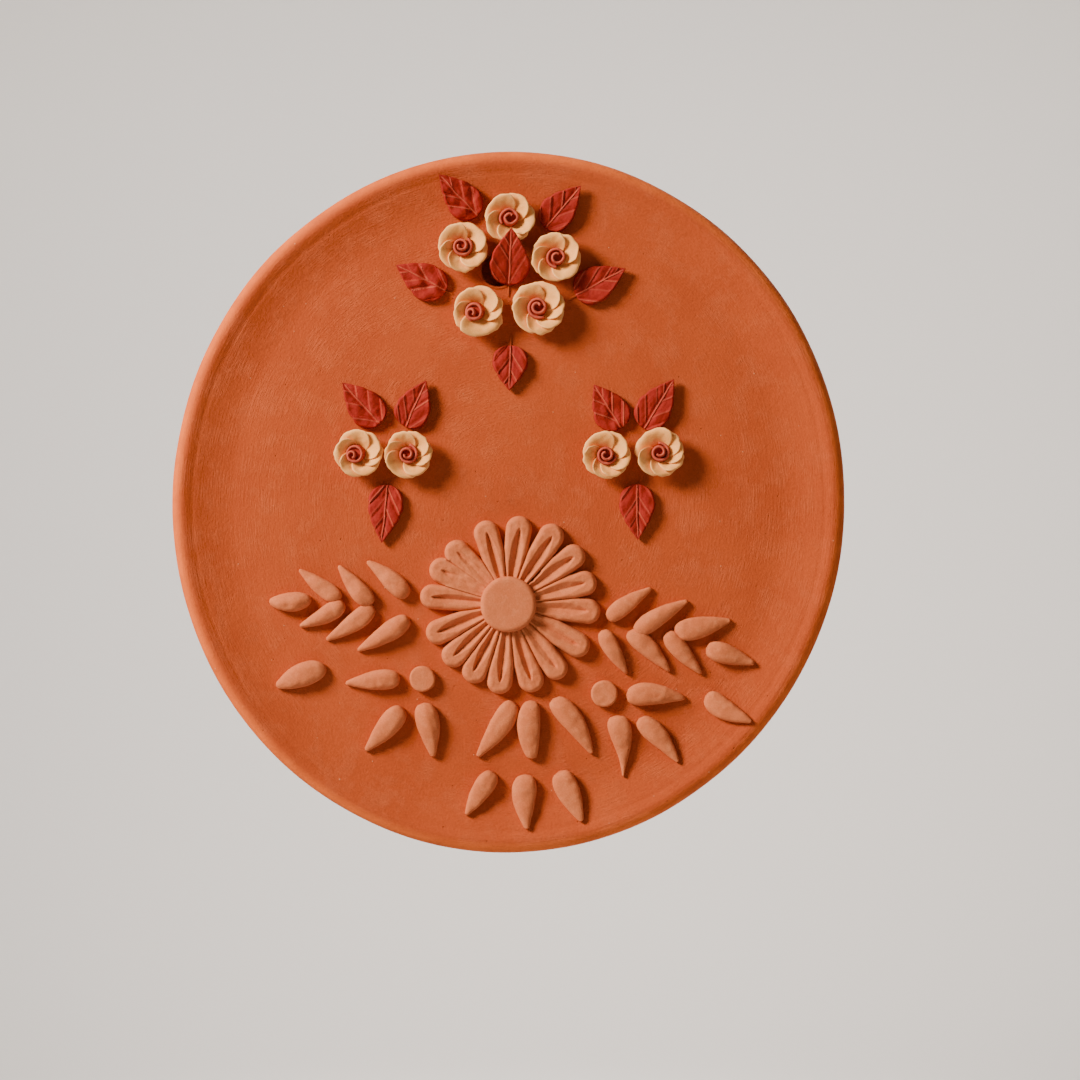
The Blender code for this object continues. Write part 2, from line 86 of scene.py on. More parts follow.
# spins a profile of (radius, height) points round Z and welds its seam and poles
def turned(bm, profile, steps):
    before = set(bm.verts)
    points = [bm.verts.new((radius, 0.0, height)) for radius, height in profile]
    edges = [bm.edges.new(pair) for pair in zip(points, points[1:])]
    bmesh.ops.spin(bm, geom=points + edges, axis=(0, 0, 1), angle=math.tau, steps=steps,
                   use_merge=True, use_duplicate=False)
    made = [point for point in bm.verts if point not in before]
    bmesh.ops.remove_doubles(bm, verts=made, dist=weld)
    return [point for point in bm.verts if point not in before]


# a closed ball whose points are moved to shape(share from pole to pole, angle round)
def ball(bm, around, along, shape):
    crest = crestLayer(bm)
    made = bmesh.ops.create_uvsphere(bm, u_segments=around, v_segments=along, radius=1.0)["verts"]
    for point in made:
        share = math.acos(min(max(point.co.z, -1.0), 1.0)) / math.pi
        angle = math.atan2(point.co.y, point.co.x)
        point.co, point[crest] = shape(share, angle)
    return made


# a grid whose points are moved to shape(along 0 to 1, across -1 to 1), with sides and an underside
def slab(bm, rows, columns, shape):
    crest = crestLayer(bm)
    before = set(bm.verts)
    bmesh.ops.create_grid(bm, x_segments=rows, y_segments=columns, size=0.5)
    made = [point for point in bm.verts if point not in before]
    for point in made:
        point.co, point[crest] = shape(point.co.x + 0.5, point.co.y * 2)
    bmesh.ops.remove_doubles(bm, verts=made, dist=weld)
    made = [point for point in bm.verts if point not in before]
    rim = {edge for point in made for edge in point.link_edges if edge.is_boundary}
    dropped = bmesh.ops.extrude_edge_only(bm, edges=list(rim))["geom"]
    for point in (item for item in dropped if isinstance(item, bmesh.types.BMVert)):
        point.co.z = 0.0
        point[crest] = 0.0
    underside = [item for item in dropped if isinstance(item, bmesh.types.BMEdge)]
    filled = bmesh.ops.contextual_create(bm, geom=underside)["faces"]
    bmesh.ops.triangulate(bm, faces=filled)
    return [point for point in bm.verts if point not in before]


def newObject(name, data):
    item = bpy.data.objects.new(name, data)
    bpy.context.scene.collection.objects.link(item)
    return item


# one visible piece: its mesh, its finish, and the CAD nodes that it stands for
def finishPiece(name, bm, finish, replaced, sharpAngle=50):
    facesOut(bm)
    mesh = bpy.data.meshes.new(name)
    bm.to_mesh(mesh)
    bm.free()
    mesh.materials.append(finish)
    mesh.shade_smooth()
    mesh.set_sharp_from_angle(angle=math.radians(sharpAngle))
    piece = newObject(name, mesh)
    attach(piece, "root")
    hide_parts(*replaced)
    return piece


# Plate: turned round, then pulled a little taller than it is wide
plate = {
    "width": 300.0,
    "height": 313.0,
    "lean": math.radians(4.5),  # its long axis leans to the right at the top
    "floorThickness": 12.0,
    "faceRise": 4.5,  # the face curves up this far before the lip
    "curveWidth": 22.0,
    "curvePower": 1.6,
    "rimThickness": 9.0,
    "rimTilt": math.radians(16),
    "shoulder": 0.12,  # how flat the rim's outer shoulder is: 0 is round
    "backFlare": 28.0,
    "steps": 288,
    "ripple": 0.12,  # height of the uneven patches that the hand leaves on the face
    "rippleLump": 26.0,
    "rimWobble": 0.35,
    "rimLump": 38.0,
    "lipGroove": 0.2,  # depth of the tool line just inside the lip
    "lipGrooveIn": 3.4,
    "lipGrooveWidth": 0.7,
    "backLines": 0.25,  # depth of the turning lines on the back
    "backLineSpacing": 6.0,
    "backSmooth": 12.0,  # radius of the back's smooth middle
    "backFade": 20.0,  # radius where the lines are full depth
    "floorRings": 30,
    "curveRings": 26,
    "rimRings": 32,
    "flareRings": 16,
    "backRings": 120,
    "holeDiameter": 15.0,
    "holeDepth": 8.5,
    "nailHoleDiameter": 4.5,
    "holeChamfer": 0.5,
    "burrWidth": 1.5,
    "burrHeight": 0.5,
    "burrFoot": 2.0,  # the raised ring is rooted this deep in the face
    "holeSteps": 72,
    "cutBehind": 5.0,  # the cutter runs this far past the back
    "cutAhead": 6.0,  # and this far in front of the face
    "holePlace": Vector((-4.5, 103.8)),
}
rimRound = plate["rimThickness"] / 2
rimCentre = Vector((plate["width"] / 2 - rimRound,
                    plate["floorThickness"] + plate["faceRise"] - rimRound * math.cos(plate["rimTilt"])))
faceEdgeRadius = rimCentre.x - rimRound * math.sin(plate["rimTilt"])
floorRadius = faceEdgeRadius - plate["curveWidth"]
baseRadius = rimCentre.x + rimRound * math.sin(plate["rimTilt"]) - plate["backFlare"]
stretch = plate["height"] / plate["width"]


# how far the face stands in front of the back, at a radius of the round blank
def faceCurve(radius):
    share = min(max((radius - floorRadius) / plate["curveWidth"], 0.0), 1.0)
    return plate["floorThickness"] + plate["faceRise"] * share ** plate["curvePower"]


def ripple(x, z):
    return plate["ripple"] * swell(Vector((x, z, 3.0)), plate["rippleLump"])


# how far the finished, oval and leaning face stands out at a place, with its uneven patches
def faceDepth(x, z):
    across = x * math.cos(plate["lean"]) - z * math.sin(plate["lean"])
    along = x * math.sin(plate["lean"]) + z * math.cos(plate["lean"])
    return faceCurve(math.hypot(across, along / stretch)) + ripple(x, z)


# hangs a piece on the face: its underside follows the face
def layOnFace(points, spot, turn):
    cosTurn = math.cos(turn)
    sinTurn = math.sin(turn)
    for point in points:
        x = spot.x + point.co.x * cosTurn - point.co.y * sinTurn
        z = spot.y + point.co.x * sinTurn + point.co.y * cosTurn
        point.co = Vector((x, -(faceDepth(x, z) + seatGap + point.co.z), z)) * mm


def plateProfile():
    rings = plate["floorRings"]
    profile = [(floorRadius * k / rings, plate["floorThickness"]) for k in range(rings + 1)]
    for k in range(1, plate["curveRings"]):
        radius = floorRadius + plate["curveWidth"] * k / plate["curveRings"]
        beside = faceEdgeRadius - plate["lipGrooveIn"] - radius
        groove = plate["lipGroove"] * bell(beside, plate["lipGrooveWidth"])
        profile.append((radius, faceCurve(radius) - groove))
    start = math.radians(90) + plate["rimTilt"]
    lip = rimCentre + rimRound * Vector((math.cos(start), math.sin(start)))
    outermost = rimCentre + Vector((rimRound, 0.0))
    for k in range(plate["rimRings"] + 1):
        angle = start - math.pi * k / plate["rimRings"]
        point = rimCentre + rimRound * Vector((math.cos(angle), math.sin(angle)))
        if angle > 0:
            point = point.lerp(lip.lerp(outermost, 1 - angle / start), plate["shoulder"])
        profile.append(tuple(point))
    lastRadius, lastDepth = profile[-1]
    for k in range(1, plate["flareRings"] + 1):
        share = k / plate["flareRings"]
        profile.append((lastRadius + (baseRadius - lastRadius) * share, lastDepth * (1 - share)))
    for k in range(1, plate["backRings"] + 1):
        radius = baseRadius * (1 - k / plate["backRings"])
        line = math.cos(math.tau * radius / plate["backLineSpacing"]) ** 6
        fade = ease(radius, plate["backSmooth"], plate["backFade"])
        profile.append((radius, plate["backLines"] * line * fade))
    return profile


def makePlate(finish):
    bm = bmesh.new()
    turned(bm, plateProfile(), plate["steps"])
    for point in bm.verts:
        radius = math.hypot(point.co.x, point.co.y)
        spread = 1.0
        if radius > floorRadius:
            outwards = Vector((point.co.x, point.co.y, 0.0))
            reach = ease(radius, floorRadius, faceEdgeRadius)
            spread += plate["rimWobble"] * swell(outwards, plate["rimLump"]) * reach / radius
        flatX = point.co.x * spread
        flatY = point.co.y * spread * stretch
        x = flatX * math.cos(plate["lean"]) + flatY * math.sin(plate["lean"])
        z = flatY * math.cos(plate["lean"]) - flatX * math.sin(plate["lean"])
        depth = point.co.z
        depth += ripple(x, z) * ease(depth, 1.0, plate["floorThickness"])
        point.co = Vector((x, -depth, z)) * mm
    facesOut(bm)
    hole = plate["holePlace"]
    radius = plate["holeDiameter"] / 2
    upright = Matrix.Translation((hole.x * mm, 0.0, hole.y * mm)) @ Matrix.Rotation(math.radians(90), 4, "X")
    face = plate["floorThickness"] + ripple(hole.x, hole.y)

    # a low raised ring that the cutter pushed up, then the hole with its rounded-off edge
    ring = bmesh.new()
    burrMiddle = radius + plate["burrWidth"] * 0.35
    burrHalf = plate["burrWidth"] / 2
    root = face - plate["burrFoot"]
    ringProfile = [(0.0, root), (burrMiddle + burrHalf, root)]
    for k in range(13):
        angle = math.pi * k / 12
        ringProfile.append((burrMiddle + burrHalf * math.cos(angle),
                            face - 0.1 + plate["burrHeight"] * math.sin(angle)))
    ringProfile.append((0.0, face - 0.1))
    turned(ring, ringProfile, plate["holeSteps"])
    cutter = bmesh.new()
    chamfer = plate["holeChamfer"]
    nail = plate["nailHoleDiameter"] / 2
    floor = plate["floorThickness"] - plate["holeDepth"]
    behind = -plate["cutBehind"]
    ahead = face + plate["cutAhead"]
    turned(cutter, [(0.0, behind), (nail, behind), (nail, floor), (radius, floor),
                    (radius, face - chamfer * 0.6), (radius + chamfer * 0.3, face),
                    (radius + chamfer, face + plate["burrHeight"]), (radius + chamfer, ahead),
                    (0.0, ahead)], plate["holeSteps"])
    shapes = []
    for name, shape in (("plateBlank", bm), ("holeBurr", ring), ("holeCutter", cutter)):
        if shape is not bm:
            bmesh.ops.scale(shape, vec=(mm, mm, mm), verts=shape.verts)
            bmesh.ops.transform(shape, matrix=upright, verts=shape.verts)
            facesOut(shape)
        mesh = bpy.data.meshes.new(name)
        shape.to_mesh(mesh)
        shape.free()
        shapes.append(newObject(name, mesh))
    blank, burr, cutter = shapes
    for way, other in (("UNION", burr), ("DIFFERENCE", cutter)):
        cut = blank.modifiers.new(way.lower(), "BOOLEAN")
        cut.operation = way
        cut.solver = "EXACT"
        cut.object = other
    bpy.context.view_layer.update()
    cutMesh = bpy.data.meshes.new_from_object(blank.evaluated_get(bpy.context.evaluated_depsgraph_get()))
    for item in shapes:
        bpy.data.objects.remove(item)
    bm = bmesh.new()
    bm.from_mesh(cutMesh)
    finishPiece("plate_clay", bm, finish, ["plate"], 32)
    print("plate turned and pierced")


# Roses: round petals laid like a pinwheel, with a rolled bud in the middle
rose = {
    "diameter": 21.6,
    "petalThickness": 1.3,
    "petalMiddle": 0.47,  # the middle of a petal, as a share of the bloom's radius
    "petalReach": 0.54,
    "petalSpread": 0.94,  # half width of a petal that spans a quarter turn, as such a share
    "overlap": 9,  # degrees that a petal runs in under the next, on each side
    "low": 2.6,  # height of the cup where it meets the bud
    "top": 7.5,  # height of the petals' rims
    "cupStart": 0.28,
    "cupPower": 1.6,
    "rimRoll": 0.9,  # the rims roll outwards and down by this much
    "pinwheel": 0.2,  # each petal rises this much for a millimetre towards its clockwise edge
    "edgeCurl": 0.5,  # and its free edge curls up by this much
    "uneven": 0.35,  # height of a petal's gentle dents
    "unevenLump": 5.0,
    "edgeWave": 0.05,  # how far its edge strays, as a share
    "edgeWaveLump": 1.4,
    "petalRings": 9,
    "petalSteps": 40,
    "budDiameter": 9.8,
    "budFoot": 2.2,
    "budTop": 9.4,
    "budStrip": 1.5,
    "budFall": 2.2,  # the strip's outer end stands this much lower than its inner one
    "budRagged": 0.4,
    "budFlare": 0.3,
    "budEnd": 0.025,  # share of the strip in which each end rounds off
    "budLean": 0.4,  # a tilted bud leans this far over for a millimetre of height and a tilt of 1
    "budAround": 14,
    "budAlong": 110,
    "budCoreTop": 6.4,
    "budSlip": 4.0,  # how far a tilted bud's middle slips to one side for a tilt of 1
}


def addRosePetal(bm, radius, bearing, halfAngle, draw):
    crest = crestLayer(bm)
    thick = rose["petalThickness"] * draw.uniform(0.9, 1.1)
    edge = thick / 2
    rounding = edge / (0.6 * radius)
    rings = rose["petalRings"]
    profile = [((1 - rounding) * k / rings, thick) for k in range(rings + 1)]
    for k in range(1, 8):
        turn = math.pi / 2 - math.pi * k / 8
        profile.append((1 - rounding + rounding * math.cos(turn), edge + edge * math.sin(turn)))
    profile += [((1 - rounding) * k / rings, 0.0) for k in range(rings, -1, -1)]
    middle = rose["petalMiddle"] * radius
    reach = rose["petalReach"] * radius * draw.uniform(0.96, 1.02)
    spread = rose["petalSpread"] * radius * math.sin(halfAngle)
    lift = draw.uniform(-0.25, 0.25)
    slope = rose["pinwheel"] * draw.uniform(0.85, 1.2)
    shift = drawShift(draw)
    points = turned(bm, profile, rose["petalSteps"])
    for point in points:
        outwards = middle + point.co.x * reach
        sideways = point.co.y * spread
        fromAxis = math.hypot(outwards, sideways) / radius
        cup = min(max((fromAxis - rose["cupStart"]) / (1 - rose["cupStart"]), 0.0), 1.0)
        height = rose["low"] + (rose["top"] - rose["low"]) * (1 - (1 - cup) ** rose["cupPower"])
        height -= rose["rimRoll"] * ease(fromAxis, 0.75, 1.1) ** 2
        height += lift * cup - slope * sideways + rose["edgeCurl"] * ease(-point.co.y, 0.55, 1.0)
        height += rose["uneven"] * swell(Vector((outwards, sideways, 0.0)) + shift, rose["unevenLump"])
        along = Vector((point.co.x * 4, point.co.y * 4, 0.0)) + shift
        wave = 1 + rose["edgeWave"] * swell(along, rose["edgeWaveLump"])
        # crest: a painted highlight along the top of the petal's rim
        point[crest] = ease(math.hypot(point.co.x, point.co.y), 0.86, 0.97) * ease(point.co.z, 0.3, 0.9)
        point.co = Vector((outwards * wave, sideways * wave, height - thick + point.co.z))
    bmesh.ops.rotate(bm, verts=points, cent=(0, 0, 0), matrix=Matrix.Rotation(bearing, 3, "Z"))


# each petal's free, clockwise edge meets the rim at one of the given bearings
def makeBloom(name, spot, size, edges, finish):
    draw = random.Random(name)
    bm = bmesh.new()
    radius = rose["diameter"] / 2 * size
    # the lump that the petals are pressed on
    turned(bm, [(0.0, 0.0), (0.5 * radius, 0.0), (0.58 * radius, 0.5), (0.6 * radius, 1.6),
                (0.48 * radius, 2.4), (0.3 * radius, 2.6), (0.0, 2.6)], rose["petalSteps"])
    for k, edge in enumerate(edges):
        gap = (edges[k - 1] - edge) % 360
        halfAngle = math.radians(min(max(gap / 2 + rose["overlap"], 38), 66))
        addRosePetal(bm, radius, math.radians(edge) + halfAngle, halfAngle, draw)
    layOnFace(bm.verts, spot, 0.0)
    finishPiece(name + "_petals_clay", bm, finish, [name + "_petals"])


# a strip of clay rolled into a spiral round a hollow, tilted its own way
def makeBud(name, spot, size, turn, turns, hollow, square, tilt, finish):
    draw = random.Random(name + "bud")
    bm = bmesh.new()
    strip = rose["budStrip"] * draw.uniform(0.95, 1.05)
    inner = (hollow + strip) / 2
    outer = (rose["budDiameter"] - strip) / 2
    foot = rose["budFoot"]
    shift = Vector((draw.uniform(0, 90), 0.0, 0.0))
    lean = Vector((tilt[0], tilt[1], 0.0))

    def shape(share, angle):
        turnAngle = math.radians(turn) + share * turns * math.tau
        radius = (inner + (outer - inner) * share ** 0.9) * (1 + square * math.cos(4 * turnAngle))
        top = rose["budTop"] - rose["budFall"] * share
        top += rose["budRagged"] * swell(Vector((share * 9, 0.0, 0.0)) + shift, 1.0)
        nearEnd = min(share, 1 - share)
        cap = math.sqrt(1 - (1 - min(nearEnd / rose["budEnd"], 1.0)) ** 2)
        rise = keepSign(math.sin(angle), 0.55)
        height = (top + foot) / 2 + rise * (top - foot) / 2 * (0.75 + 0.25 * cap)
        raised = (height - foot) / (rose["budTop"] - foot)
        flare = rose["budFlare"] * raised * (share - 0.5)
        radius += keepSign(math.cos(angle), 0.8) * strip / 2 * cap + flare
        place = Vector((radius * math.cos(turnAngle), radius * math.sin(turnAngle), 0.0)) * size
        place += lean * (rose["budLean"] * (height - foot) + rose["budSlip"] * (1 - share))
        place.z = height - 0.2 * lean.dot(place)
        # crest: a painted highlight along the top of the rolled strip
        return place, ease(rise, 0.75, 1.0)

    ball(bm, rose["budAround"], rose["budAlong"], shape)
    core = outer * 0.9 * size
    top = rose["budCoreTop"]
    points = turned(bm, [(0.0, 1.8), (core, 1.8), (core * 0.9, top), (0.0, top)], 32)
    bmesh.ops.translate(bm, vec=lean * 1.5, verts=points)
    layOnFace(bm.verts, spot, 0.0)
    finishPiece(name + "_bud_clay", bm, finish, [name + "_bud"])


# Leaves: pressed slabs, veined with thin ridges that each have a shallow groove beside them
leaf = {
    "thickness": 2.6,
    "edgeThickness": 1.4,
    "edgeRound": 1.1,
    "ridgeHeight": 0.3,
    "ridgeWidth": 0.26,
    "grooveDepth": 0.16,
    "grooveWidth": 0.5,
    "grooveBeside": 0.7,
    "veinSpacing": 8.2,
    "veinSlope": 1.75,  # a side vein runs this far towards the tip for a millimetre outwards
    "veins": 24,  # drawn for each leaf, more than any leaf shows
    "midribStrength": 1.35,
    "wander": 0.35,  # the midrib strays sideways by this much
    "wanderLump": 7.0,
    "pleat": 0.2,
    "fold": 0.6,  # the midrib lies this much lower than the two halves
    "uneven": 0.3,
    "unevenLump": 4.5,
    "crumple": 0.9,  # added height of the dents in a creased leaf
    "skin": 0.1,
    "skinLump": 1.2,
    "notch": 0.06,  # the edge draws in by this share where a vein meets it
    "tipThinning": 0.3,
    "basePower": 0.5,  # powers of the outline towards the base and the tip
    "tipPower": 1.05,
    "stalkWidth": 0.9,
    "rows": 108,
    "columns": 64,
}


# half width of a leaf as a share of its widest half, from base to tip
def leafOutline(share):
    basePower = leaf["basePower"]
    tipPower = leaf["tipPower"]
    widest = basePower / (basePower + tipPower)
    peak = widest ** basePower * (1 - widest) ** tipPower
    share = min(max(share, 0.0), 1.0)
    return share ** basePower * (1 - share) ** tipPower / peak


# height of a vein at a distance to one side of it, and how much of that is ridge, which gets a painted
# highlight
def veinLine(distance, strength):
    ridge = bell(distance, leaf["ridgeWidth"])
    groove = bell(distance - leaf["grooveBeside"], leaf["grooveWidth"])
    return strength * (leaf["ridgeHeight"] * ridge - leaf["grooveDepth"] * groove), ridge * strength


def makeLeaf(name, spot, way, length, width, lift, stalk, crease, lopsided, finish):
    draw = random.Random(name)
    bm = bmesh.new()
    shift = drawShift(draw)
    starts = (draw.uniform(0.15, 0.45), draw.uniform(0.6, 0.9))  # each side's veins start differently
    slopes = (leaf["veinSlope"] * draw.uniform(0.85, 1.15), leaf["veinSlope"] * draw.uniform(0.85, 1.15))
    jitter = [draw.uniform(-0.2, 0.2) for _ in range(leaf["veins"])]
    strengths = [draw.uniform(0.25, 1.1) for _ in range(leaf["veins"])]

    def shape(along, across):
        share = (1 - math.cos(math.pi * along)) / 2 * 0.6 + along * 0.4
        share = share + 0.75 * abs(across) * share * (1 - share)
        x = share * length
        side = 0 if across > 0 else 1
        half = width / 2 * leafOutline(share) * (1 + lopsided * (1 - 2 * side))
        y = across * half
        veinPlace = (x - slopes[side] * abs(y) + 0.04 * y * y) / leaf["veinSpacing"] - starts[side]
        vein = round(veinPlace)
        drawn = (vein + side * 9) % leaf["veins"]
        offset = veinPlace - vein - jitter[drawn]
        distance = offset * leaf["veinSpacing"] / math.hypot(1, slopes[side])
        inBlade = ease(abs(y), 0.1, 0.8) * ease(length - x, 0.8, 3.0)
        rise, crest = veinLine(distance, strengths[drawn])
        wander = leaf["wander"] * swell(Vector((x, 0.0, 0.0)) + shift, leaf["wanderLump"])
        midRise, midCrest = veinLine(y + wander, leaf["midribStrength"])
        midFade = ease(length - x, 0.3, 3.0)
        between = (veinPlace - 0.1) % 1.0
        pleat = leaf["pleat"] * math.sin(math.pi * between) + crease * leaf["crumple"] * (between - 0.5)
        edge = min(half - abs(y), (length - x) * 0.8, x * 1.2 + 0.05)
        edgeShare = math.sqrt(1 - (1 - min(max(edge, 0.0) / leaf["edgeRound"], 1.0)) ** 2)
        top = leaf["thickness"] + leaf["fold"] * (abs(across) - 0.5) + pleat * ease(abs(y), 0.3, 2.0)
        top += rise * inBlade + midRise * midFade
        dents = leaf["uneven"] + crease * leaf["crumple"]
        top += dents * swell(Vector((x, y, 0.0)) + shift, leaf["unevenLump"])
        top += leaf["skin"] * swell(Vector((x, y, 7.0)) + shift, leaf["skinLump"])
        notch = leaf["notch"] * bell(distance, 0.9)
        notched = 1 - notch * ease(abs(across), 0.6, 1.0) * ease(length - x, 1.0, 4.0)
        thin = 1 - leaf["tipThinning"] * ease(share, 0.5, 1.0)
        height = leaf["edgeThickness"] + (top * thin - leaf["edgeThickness"]) * edgeShare
        # crest: a painted highlight on the ridges of the veins and the midrib
        amount = max(crest * inBlade, midCrest * midFade) * edgeShare
        return Vector((x, y * notched, height)), min(amount, 1.0)

    slab(bm, leaf["rows"], leaf["columns"], shape)
    for point in bm.verts:
        point.co.z += lift * max(point.co.x / length, 0.0)
    if stalk > 0:
        stem = leaf["stalkWidth"] / 2

        def stemShape(share, angle):
            x = -stalk + (stalk + 0.2 * length) * share
            girth = stem * math.sqrt(max(1 - (2 * share - 1) ** 6, 0.0)) * (0.6 + 0.4 * share)
            height = max(0.6 * stem + math.sin(angle) * girth, 0.0)
            return Vector((x, math.cos(angle) * girth, height)), -1.0

        ball(bm, 12, 24, stemShape)
    layOnFace(bm.verts, spot, way)
    finishPiece(name + "_clay", bm, finish, [name])


# Groups of roses and leaves, as shares of one rose's diameter from the group's centre.
# Each rose: place across and up, size; the bearings in degrees at which its petals' free edges
# meet the rim; its bud's turn in degrees, times rolled, hollow, squareness and tilt.
# Each leaf: its base across and up, the way it points in degrees, length, width; how high
# its tip is lifted, its stalk, how creased it is, and how much wider one half is.
bouquets = {
    "crown": {
        "centre": Vector((0.2, 106.0)),
        "roses": (((0.02, 0.94, 1.03), (91, 29, -45, -117, -183), (40, 1.5, 1.0, 0.03, (0.03, 0.0))),
                  ((-0.95, 0.34, 1.03), (94, 5, -68, -128, -182), (150, 1.75, 0.5, 0.0, (-0.12, 0.08))),
                  ((0.97, 0.13, 1.03), (76, 5, -80, -144, -202), (60, 1.6, 1.2, 0.0, (0.1, 0.0))),
                  ((-0.63, -0.97, 1.04), (96, 26, -15, -140, -194), (320, 1.8, 0.5, 0.0, (-0.5, -0.22))),
                  ((0.61, -0.91, 1.1), (96, 24, -20, -66, -114, -196), (20, 1.8, 0.8, 0.0, (-0.06, 0.05)))),
        "leaves": (((-0.64, 1.01, 134, 1.15, 0.74), (0.04, 0.1, 0.8, 0.0)),
                   ((0.76, 0.74, 50, 1.13, 0.74), (0.09, 0.0, 0.2, 0.1)),
                   ((-1.3, -0.54, 153, 1.16, 0.78), (0.03, 0.17, 0.7, 0.06)),
                   ((1.38, -0.64, 28, 1.17, 0.78), (0.09, 0.25, 0.1, 0.05)),
                   ((0.0, -0.42, 87, 1.14, 0.85), (0.48, 0.25, 0.0, 0.0)),
                   ((0.04, -1.67, -92, 0.94, 0.76), (0.05, 0.24, 0.3, 0.0))),
    },
    "left_pair": {
        "centre": Vector((-55.5, 21.44)),
        "roses": (((-0.51, 0.01, 1.0), (68, 5, -30, -92, -152, -220), (300, 1.8, 0.6, 0.0, (-0.5, -0.2))),
                  ((0.51, -0.01, 1.0), (85, 18, -25, -84, -171, -215), (175, 1.75, 0.6, 0.0, (-0.1, 0.0)))),
        "leaves": (((-0.07, 0.63, 133, 1.16, 0.76), (0.04, 0.0, 0.6, 0.0)),
                   ((0.45, 0.56, 66, 1.05, 0.75), (0.09, 0.0, 0.1, 0.04)),
                   ((0.08, -0.63, -96, 1.21, 0.75), (0.05, 0.0, 0.2, 0.0))),
    },
    "right_pair": {
        "centre": Vector((55.5, 21.44)),
        "roses": (((-0.55, -0.02, 1.0), (80, 12, -43, -90, -128, -194), (90, 1.75, 0.7, 0.0, (-0.04, 0.0))),
                  ((0.55, 0.02, 1.0), (60, 18, -20, -60, -108, -176), (210, 1.7, 1.0, 0.0, (-0.05, 0.05)))),
        "leaves": (((-0.24, 0.53, 122, 1.07, 0.77), (0.04, 0.0, 0.5, 0.0)),
                   ((0.23, 0.52, 59, 1.2, 0.76), (0.09, 0.0, 0.1, 0.1)),
                   ((0.08, -0.62, -89, 1.15, 0.76), (0.05, 0.0, 0.2, 0.0))),
    },
}


def makeBouquets(cream, budRed, brick):
    unit = rose["diameter"]
    for group, look in bouquets.items():
        for number, ((x, z, size), edges, bud) in enumerate(look["roses"], 1):
            spot = look["centre"] + Vector((x, z)) * unit
            name = f"{group}_rose_{number}"
            makeBloom(name, spot, size, edges, cream)
            makeBud(name, spot, size, *bud, budRed)
        for number, (outline, form) in enumerate(look["leaves"], 1):
            x, z, way, length, width = outline
            lift, stalk, crease, lopsided = form
            spot = look["centre"] + Vector((x, z)) * unit
            makeLeaf(f"{group}_leaf_{number}", spot, math.radians(way), length * unit, width * unit,
                     lift * unit, stalk * unit, crease, lopsided, brick)
        print(group, "roses and leaves laid")


# Daisy: each looped petal has its own bearing in degrees, length, trough depth and width, and
# how far its inner half is smeared flat
daisy = {
    "centre": Vector((0.0, -45.54)),
    "petalWidth": 11.4,
    "thickness": 4.3,
    "edgeHeight": 1.3,  # height of a petal's free edge, and of the crease where two petals touch
    "creaseHeight": 2.4,
    "innerRadius": 8.0,
    "petals": ((82.1, 39.8, 2.1, 2.3, 0), (57.8, 41.6, 2.1, 2.2, 0), (36.5, 41.3, 1.8, 2.5, 0),
               (15.5, 40.7, 1.5, 2.4, 0), (-4.9, 41.2, 1.5, 2.5, 0), (-30.4, 41.3, 1.7, 2.0, 0),
               (-53.3, 40.7, 1.3, 2.1, 0), (-73.3, 40.8, 1.9, 1.8, 0), (-96.5, 40.2, 2.1, 2.0, 0),
               (-117.0, 38.9, 2.3, 1.9, 0), (-137.1, 38.7, 2.3, 1.9, 0), (-158.4, 39.2, 2.3, 2.3, 0),
               (174.2, 39.6, 2.1, 1.9, 0), (152.9, 39.0, 1.7, 1.7, 1), (134.6, 38.2, 1.5, 1.4, 0.8),
               (107.1, 38.9, 2.0, 1.7, 0)),
    "ridgeShare": 0.62,  # a petal's rounded edge starts at this share of its half width
    "taper": 0.03,
    "smearReach": 33.0,
    "smearFill": 1.5,  # a smeared petal's sides fill up, its top sinks and its face ripples
    "smearSink": 0.3,
    "smearRipple": 0.35,
    "rootReach": 21.0,  # inside this radius the creases fill up too
    "rootRise": 0.5,
    "troughOpening": 8.0,  # a trough opens to its full width over this length
    "uneven": 0.2,
    "unevenLump": 4.0,
    "skin": 0.12,
    "skinLump": 1.7,
    "rows": 64,
    "columns": 36,
    "hubRadius": 11.0,  # a plain disc under the centre that joins the petals
    "hubHeight": 2.4,
    "crackBearing": 36.5,  # a short crack runs down the side of this petal
    "crackPlace": 17.5,
    "crackLength": 4.0,
    "discDiameter": 25.0,
    "discThickness": 4.0,
    "discRound": 2.0,
    "discSink": 0.6,  # the disc is pressed this far into the petals
}


